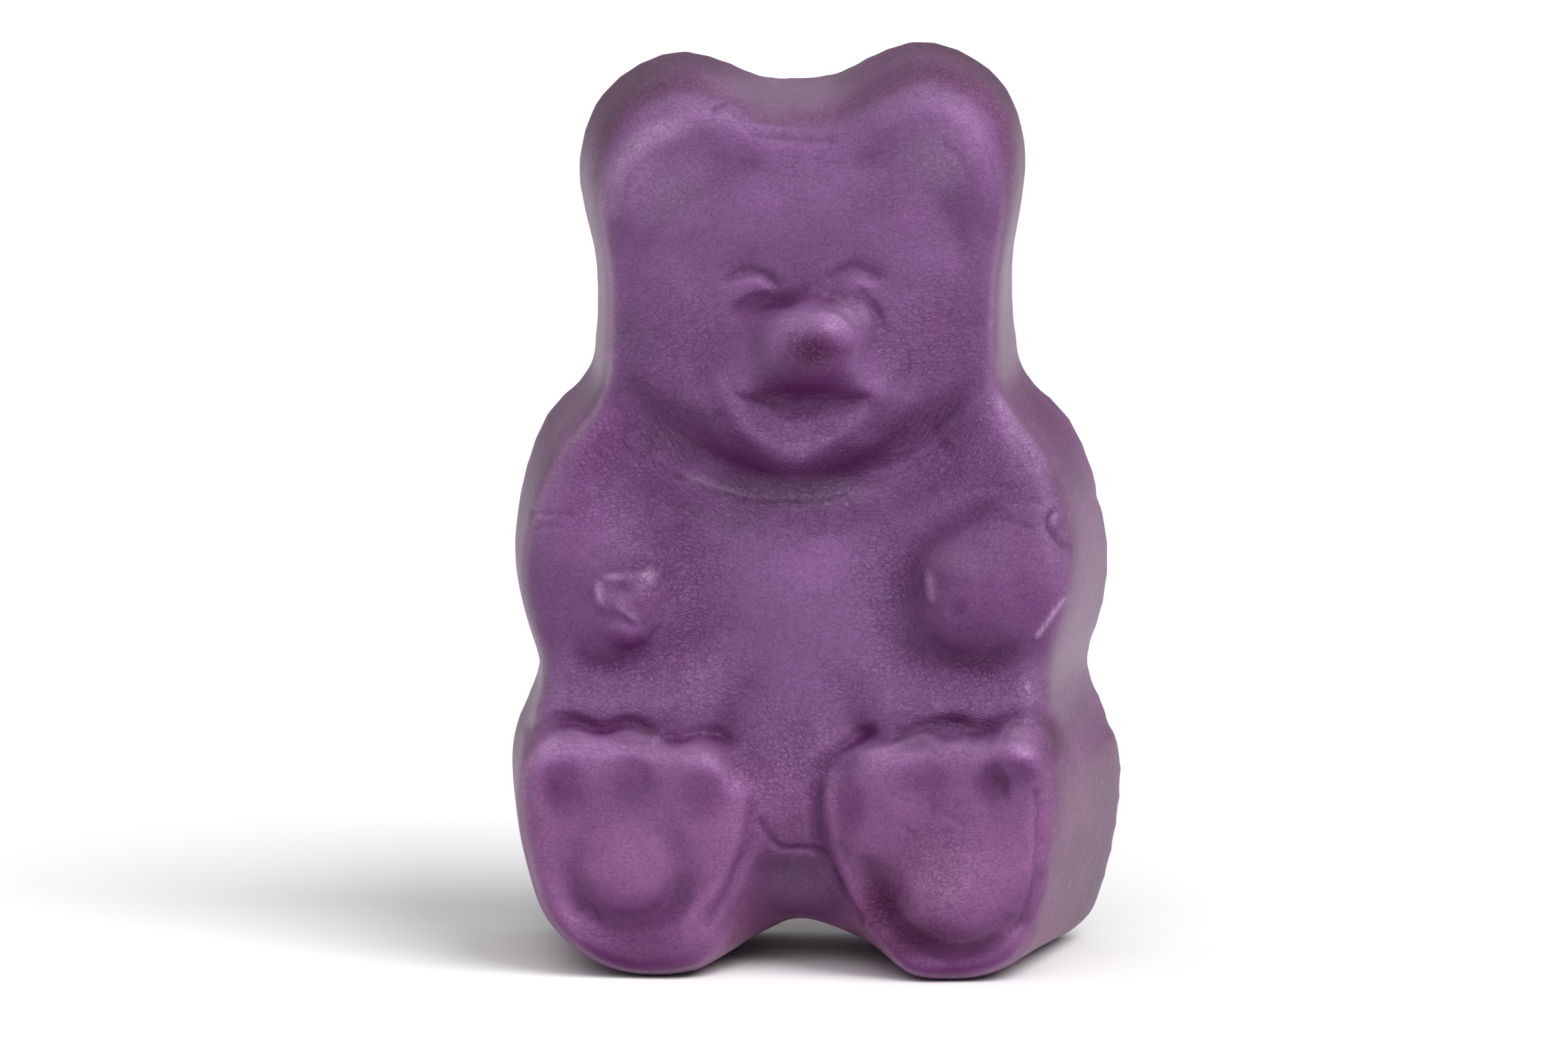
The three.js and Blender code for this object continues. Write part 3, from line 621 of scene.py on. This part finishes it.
def spread(values, edges, rounds):
    """Evens out a value over the mesh, by giving each vertex the mean of its neighbours."""
    count = np.zeros(len(values))
    np.add.at(count, edges.ravel(), 1)
    for _ in range(rounds):
        total = np.zeros_like(values)
        np.add.at(total, edges[:, 0], values[edges[:, 1]])
        np.add.at(total, edges[:, 1], values[edges[:, 0]])
        values = total / (count[:, None] if values.ndim > 1 else count)
    return values


def mesh_edges(mesh):
    """The two vertices of each edge, one row each."""
    edges = np.empty(len(mesh.edges) * 2, dtype=int)
    mesh.edges.foreach_get("vertices", edges)
    return edges.reshape(-1, 2)


def relief_of(mesh, reach):
    """How far each vertex lies below the even surface round it, over the reach. Ridges are negative."""
    coords = vertex_array(mesh, "co")
    normals = vertex_array(mesh, "normal")
    edges = mesh_edges(mesh)
    even = spread(coords, edges, round((reach / FINE_EDGE) ** 2))
    return spread(((even - coords) * normals).sum(axis=1), edges, 4) / reach


def distance_to_outline(coords, normals):
    """How far each vertex lies inside the outline of the back, in millimetres."""
    back = coords[:, 1].max()
    rim = coords[(coords[:, 1] > back - 0.4 * MM) & (np.abs(normals[:, 1]) < 0.7)]
    tree = kdtree.KDTree(len(rim))
    for i, (x, _, z) in enumerate(rim):
        tree.insert((x, 0, z), i)
    tree.balance()
    return np.array([tree.find((x, 0, z))[2] for x, _, z in coords]) / MM


def oval_patches(places, patches):
    """The strongest of some oval patches at each place."""
    strongest = np.zeros(len(places))
    for *oval, strength in patches:
        strongest = np.maximum(strongest, strength * oval_share(places, *oval))
    return strongest


def store(mesh, name, values):
    """Keeps one number for each vertex, for the material to read."""
    attribute = mesh.attributes.new(name, "FLOAT", "POINT")
    attribute.data.foreach_set("value", np.clip(values, 0, 1).astype(np.float32))


def describe_skin(piece, sizes):
    """Stores what the skin is like at each vertex, and where shade and light are painted, for the jelly to
    read.
    """
    mesh = piece.data
    coords = vertex_array(mesh, "co")
    normals = vertex_array(mesh, "normal")
    places = coords[:, [0, 2]] / MM
    back = (coords[:, 1].max() - coords[:, 1]) / MM
    front = rise(-normals[:, 1], 0, 0.3)

    # The side walls fade softly into the front, and a highlight line is painted where they meet it. Shade is
    # painted along their rims.
    near_outline = rise(WALL_TAPER * back + WALL_MARGIN - distance_to_outline(coords, normals), 0, 0.3)
    wall = near_outline * rise(0.7 - np.abs(normals[:, 1]), 0, 0.25)
    wall *= rise(2 * spread(wall, mesh_edges(mesh), WALL_SOFTNESS), 0.75, 1)
    edge_highlight = near_outline * bell(normals[:, 1] + 0.5, 0.14) * oval_patches(places, PAINTED_EDGE_HIGHLIGHTS)
    rim = np.maximum(0.75 * bell(back, EDGE_REACH), oval_patches(places, PAINTED_RIM_SHADE) * bell(back, RIM_REACH))

    # Shade is painted into dents and creases, into listed patches and on undersides. Highlights are painted
    # on ridges and in listed lines and patches.
    relief = relief_of(mesh, sizes.hollow_reach)
    dip_shade = relief / HOLLOW_RELIEF * (1 - oval_patches(places, EVEN))
    dip_shade = np.maximum(dip_shade, oval_patches(places, PAINTED_SHADE_PATCHES) * front)
    underside_shade = rise(-1.3 * normals[:, 2], 0.12, 1)
    ridges = -relief / RIDGE_RELIEF * rise(0.3 + normals[:, 2], 0, 1)
    painted_highlight = np.maximum(ridges, oval_patches(places, PAINTED_HIGHLIGHT_PATCHES))
    for half_width, strength, points in PAINTED_HIGHLIGHT_LINES:
        painted_highlight = np.maximum(painted_highlight, strength * line_press(places, points, half_width))

    # A little crackle is everywhere on the front, and more of it in patches.
    crackled = 0.3 + 0.7 * oval_patches(places, CRACKLED) ** 0.5 * front

    store(mesh, "wall", wall)
    # Painted shade along the walls' back edge and in patches.
    store(mesh, "rim", wall * rim)
    # Painted light on the walls where they pinch in.
    store(mesh, "pale", wall * oval_patches(places, PAINTED_WALL_LIGHT))
    # A painted highlight line where the walls meet the front.
    store(mesh, "edge_highlight", edge_highlight)
    # Painted shade in dents, creases, listed patches and on undersides, kept off the walls.
    store(mesh, "hollow", np.maximum(dip_shade, underside_shade) * (1 - wall))
    # Painted highlights on ridges and in listed lines and patches.
    store(mesh, "painted_highlight_share", painted_highlight * front)
    store(mesh, "crackled", crackled * (1 - 0.8 * wall))
    store(mesh, "worn", oval_patches(places, WORN) * front)
    store(mesh, "round", np.hypot(*(places - JAW).T) / JAW_REACH)
    store(mesh, "wrinkled", oval_patches(places, WRINKLED) * front)


# ---- The jelly ----


class Tree:
    """A material's node tree, with short calls for the nodes that a skin needs."""

    def __init__(self, material):
        material.use_nodes = True
        self.nodes = material.node_tree.nodes
        self.links = material.node_tree.links
        self.nodes.clear()

    def add(self, kind, inputs=(), **settings):
        """A new node with its settings, and with values or links in its inputs."""
        node = self.nodes.new(kind)
        for name, value in settings.items():
            setattr(node, name, value)
        for name, value in dict(inputs).items():
            self.feed(node.inputs[name], value)
        return node

    def feed(self, socket, value):
        """Links an output to an input, or sets the input to a plain value."""
        if isinstance(value, bpy.types.NodeSocket):
            self.links.new(value, socket)
        else:
            socket.default_value = value

    def attribute(self, name):
        """A number that the mesh keeps for each vertex."""
        return self.add("ShaderNodeAttribute", attribute_name=name).outputs["Fac"]

    def math(self, operation, a, b=0.0, c=0.0):
        """What a Math node makes of up to three numbers."""
        return self.add("ShaderNodeMath", {0: a, 1: b, 2: c}, operation=operation).outputs[0]

    def times(self, a, b):
        """Two numbers multiplied."""
        return self.math("MULTIPLY", a, b)

    def vector(self, operation, inputs):
        """What a Vector Math node makes of its inputs."""
        return self.add("ShaderNodeVectorMath", inputs, operation=operation).outputs[0]

    def ramp(self, value, low, high, to_low=0.0, to_high=1.0):
        """A value led smoothly from one range to another, and held at its ends."""
        inputs = {"Value": value, "From Min": low, "From Max": high, "To Min": to_low, "To Max": to_high}
        return self.add("ShaderNodeMapRange", inputs, interpolation_type="SMOOTHSTEP").outputs["Result"]

    def mix(self, share, a, b, blend_type="MIX"):
        """Colour a with a share of colour b over it."""
        node = self.add("ShaderNodeMix", data_type="RGBA", blend_type=blend_type)
        for socket, value in zip((node.inputs[0], node.inputs[6], node.inputs[7]), (share, a, b)):
            self.feed(socket, value)
        return node.outputs[2]

    def noise(self, vector, scale, detail=2.0, roughness=0.5, output="Fac"):
        """Soft noise at a scale."""
        inputs = {"Vector": vector, "Scale": scale, "Detail": detail, "Roughness": roughness}
        return self.add("ShaderNodeTexNoise", inputs).outputs[output]

    def plates(self, vector, scale):
        """How far inside its plate a place is: 0 on the cracks between plates."""
        inputs = {"Vector": vector, "Scale": scale}
        return self.add("ShaderNodeTexVoronoi", inputs, feature="DISTANCE_TO_EDGE").outputs["Distance"]


def opaque(colour):
    """A colour with its alpha."""
    return (*colour, 1.0)


def crackled_skin(tree, in_mm, plate_size):
    """The cracks, the soft plates between them, and the wrinkles that run round under the jaw."""
    shift = tree.vector("SUBTRACT", {0: tree.noise(in_mm, 3.0, output="Color"), 1: (0.5, 0.5, 0.5)})
    warped = tree.vector("ADD", {0: in_mm, 1: tree.vector("SCALE", {0: shift, "Scale": 0.25})})
    crackled = tree.attribute("crackled")
    wrinkled = tree.attribute("wrinkled")

    # Fine cracks, broken off here and there, and a few wide ones in patches.
    per_mm = MM / plate_size
    plates = tree.plates(warped, per_mm)
    broken = tree.ramp(tree.noise(in_mm, 3.5), 0.33, 0.56)
    fine = tree.times(tree.ramp(plates, 0.0, 0.09, 1.0, 0.0), tree.times(crackled, broken))
    patches = tree.ramp(tree.noise(in_mm, 0.9, 3.0), 0.45, 0.56)
    wide = tree.ramp(tree.plates(warped, per_mm * 0.4), 0.0, 0.03, 1.0, 0.0)
    wide = tree.times(wide, tree.times(tree.math("SQRT", crackled), patches))

    # Long plates in rows round the jaw.
    across = tree.add("ShaderNodeSeparateXYZ", {0: warped}).outputs[0]
    rows = tree.times(tree.attribute("round"), JAW_ROWS)
    run = tree.add("ShaderNodeCombineXYZ", {0: tree.times(across, 4.0), 1: rows}).outputs[0]
    bands = tree.plates(run, 1.0)
    lines = tree.times(tree.ramp(bands, 0.0, 0.1, 1.0, 0.0), wrinkled)

    crack = tree.math("MAXIMUM", tree.math("MAXIMUM", fine, wide), lines)
    cushions = tree.times(tree.ramp(plates, 0.0, 0.4), tree.math("POWER", crackled, 2.0))
    wrinkles = tree.times(tree.ramp(bands, 0.0, 0.4), wrinkled)
    return crack, cushions, wrinkles


def jelly_colour(tree, place, in_mm, colours, crack, grain):
    """Body colour, darker on walls, with painted shade in folds and on the rim and painted light on ridges.
    """
    dust = tree.ramp(tree.noise(in_mm, 14.0, 3.0, 0.6), 0.42, 0.72)
    wall = tree.attribute("wall")
    hollow = tree.attribute("hollow")
    # Painted highlights, speckled by the dust noise.
    painted_highlight_share = tree.times(tree.attribute("painted_highlight_share"), tree.math("MULTIPLY_ADD", dust, 0.6, 0.6))
    # The painted highlight line along the walls' edge, speckled.
    edge_highlight = tree.times(tree.attribute("edge_highlight"), tree.math("MULTIPLY_ADD", dust, 0.5, 0.5))
    # Dust specks on the walls, with that painted highlight line.
    dusty = tree.math("MAXIMUM", tree.times(tree.times(wall, 0.35), dust), edge_highlight)
    worn = tree.times(tree.attribute("worn"), tree.ramp(dust, 0.0, 0.9, 1.0, 0.55))
    layers = (
        # Painted shade in hollows and on undersides.
        (hollow, colours.deep),
        (painted_highlight_share, colours.painted_highlight),
        (wall, colours.wall),
        # Painted light where the walls pinch in.
        (tree.attribute("pale"), colours.pale),
        # Painted shade along the rim.
        (tree.attribute("rim"), colours.rim),
        # Dust specks, and the painted highlight line on the walls' edge.
        (dusty, colours.dust),
        (worn, colours.stain),
        # Painted shade in the cracks.
        (tree.times(crack, 0.38), colours.deep),
    )
    colour = opaque(colours.body)
    for share, over in layers:
        colour = tree.mix(share, colour, opaque(over))

    # The thick feet are warmer, and the whole is a little cloudy and speckled.
    height = tree.add("ShaderNodeSeparateXYZ", {0: place}).outputs[2]
    fade_from, fade_to = FEET_FADE
    feet = tree.ramp(height, fade_from * MM, fade_to * MM, 1.0, 0.0)
    feet = tree.times(feet, tree.math("SUBTRACT", 1.0, hollow))
    colour = tree.mix(feet, colour, opaque(colours.feet), "MULTIPLY")
    cloud = tree.ramp(tree.noise(in_mm, 0.35, 3.0), 0.3, 0.7, 0.86, 1.14)
    tone = tree.times(cloud, tree.ramp(grain, 0.3, 0.7, 0.82, 1.18))
    grey = tree.add("ShaderNodeCombineColor", {0: tone, 1: tone, 2: tone}).outputs[0]
    return tree.mix(1.0, colour, grey, "MULTIPLY")


def make_jelly(colours):
    """Satin, translucent jelly with a crackled skin, specked walls, painted shade in folds and painted
    highlights.
    """
    material = bpy.data.materials.new("jelly")
    tree = Tree(material)
    place = tree.add("ShaderNodeTexCoord").outputs["Object"]
    stretch = (1 / MM, 1 / MM, 1.4 / MM)
    in_mm = tree.add("ShaderNodeMapping", {"Vector": place, "Scale": stretch}).outputs["Vector"]
    crack, cushions, wrinkles = crackled_skin(tree, in_mm, colours.crackle)
    grain = tree.noise(in_mm, 13.0, 3.0, 0.6)
    uneven = tree.noise(in_mm, 2.4, 3.0)
    relief = tree.times(grain, 0.6)
    for layer, height in ((crack, -1.1), (cushions, 1.4), (wrinkles, 3.4), (uneven, 2.0)):
        relief = tree.math("MULTIPLY_ADD", layer, height, relief)
    bump = tree.add("ShaderNodeBump", {"Height": relief, "Strength": 1.0, "Distance": BUMP_DEPTH})
    shader = tree.add("ShaderNodeBsdfPrincipled", {
        "Base Color": jelly_colour(tree, place, in_mm, colours, crack, grain),
        "Roughness": tree.math("MULTIPLY_ADD", grain, 0.16, colours.roughness - 0.08),
        "Normal": bump.outputs["Normal"],
        "IOR": 1.45,
        "Specular IOR Level": 0.4,
        "Specular Tint": (0.9, 0.55, 1.0, 1.0),
        "Subsurface Weight": 0.85,
        "Subsurface Radius": (1.0, 0.45, 1.0),
        "Subsurface Scale": 1.8 * MM,
    })
    tree.add("ShaderNodeOutputMaterial", {"Surface": shader.outputs[0]})
    return material


class MakeBear(bpy.types.Operator):
    """Makes the bear: fine form, pressed marks and crackled jelly"""

    bl_idname = "jelly_bear.make_bear"
    bl_label = "Make the bear"

    def execute(self, context):
        sizes = context.scene.bear_sizes
        piece = fine_copy(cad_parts["bear"], "jelly_bear", sizes.levels)
        press_marks(piece, sizes.relief)
        describe_skin(piece, sizes)
        piece.data.materials.clear()
        piece.data.materials.append(make_jelly(context.scene.jelly_colours))
        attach(piece, "root")
        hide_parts("bear")
        return {"FINISHED"}


# ---- The studio ----


def add_sun(name, strength, spread_angle, turn, height):
    """A broad, soft sun, which shines from a turn round from the front and from a height."""
    bpy.ops.object.light_add(type="SUN")
    sun = bpy.context.object
    sun.name = name
    sun.data.energy = strength
    sun.data.angle = math.radians(spread_angle)
    sun.rotation_euler = (math.radians(90 - height), 0, math.radians(turn))


def add_floor(colour):
    """A wide pale floor."""
    bpy.ops.mesh.primitive_circle_add(vertices=96, radius=3.0, fill_type="NGON")
    floor = bpy.context.object
    floor.name = "floor"
    material = bpy.data.materials.new("pale_floor")
    tree = Tree(material)
    shader = tree.add("ShaderNodeBsdfPrincipled", {"Base Color": opaque(colour), "Roughness": 0.9})
    tree.add("ShaderNodeOutputMaterial", {"Surface": shader.outputs[0]})
    floor.data.materials.append(material)


def add_camera(setup):
    """The camera: in front, a little to +X and a little above."""
    low, high = (Vector(corner) for corner in CAD_BOX)
    across, up = AIM
    target = Vector((across, 0, up * (high.z - low.z)))
    turn, height = setup.turn, setup.rise
    level = math.cos(height)
    towards = Vector((math.sin(turn) * level, -math.cos(turn) * level, math.sin(height)))
    bpy.ops.object.camera_add(location=target + setup.distance * towards)
    camera = bpy.context.object
    camera.rotation_euler = (-towards).to_track_quat("-Z", "Y").to_euler()
    camera.data.lens = setup.lens
    camera.data.sensor_width = 36.0
    camera.data.clip_start = 0.01
    camera.data.clip_end = 20.0
    bpy.context.scene.camera = camera


class MakeStudio(bpy.types.Operator):
    """Makes the pale floor, the soft lights and the camera"""

    bl_idname = "jelly_bear.make_studio"
    bl_label = "Make the studio"

    def execute(self, context):
        setup = context.scene.studio_setup
        add_floor(setup.floor)
        for name, sun in SUNS.items():
            add_sun(name, *sun)
        world = bpy.data.worlds.new("studio")
        world.use_nodes = True
        background = world.node_tree.nodes["Background"]
        background.inputs["Color"].default_value = (1, 1, 1, 1)
        background.inputs["Strength"].default_value = SKY
        context.scene.world = world
        context.scene.view_settings.view_transform = "Standard"
        add_camera(setup)
        return {"FINISHED"}


# ---- The add-on ----


class JellyBearPanel(bpy.types.Panel):
    """The bear's settings and operators, in the sidebar"""

    bl_idname = "VIEW3D_PT_jelly_bear"
    bl_label = "Jelly Bear"
    bl_space_type = "VIEW_3D"
    bl_region_type = "UI"
    bl_category = "Jelly Bear"

    def draw(self, context):
        layout = self.layout
        for group in (context.scene.bear_sizes, context.scene.jelly_colours, context.scene.studio_setup):
            box = layout.box()
            for name in group.__annotations__:
                box.prop(group, name)
        layout.operator(MakeBear.bl_idname)
        layout.operator(MakeStudio.bl_idname)


CLASSES = (BearSizes, JellyColours, StudioSetup, MakeBear, MakeStudio, JellyBearPanel)


def register():
    for cls in CLASSES:
        bpy.utils.register_class(cls)
    bpy.types.Scene.bear_sizes = PointerProperty(type=BearSizes)
    bpy.types.Scene.jelly_colours = PointerProperty(type=JellyColours)
    bpy.types.Scene.studio_setup = PointerProperty(type=StudioSetup)


def unregister():
    del bpy.types.Scene.bear_sizes
    del bpy.types.Scene.jelly_colours
    del bpy.types.Scene.studio_setup
    for cls in reversed(CLASSES):
        bpy.utils.unregister_class(cls)


def main():
    """Makes the bear and the studio."""
    register()
    bpy.ops.jelly_bear.make_bear()
    bpy.ops.jelly_bear.make_studio()


if __name__ == "__main__":
    main()
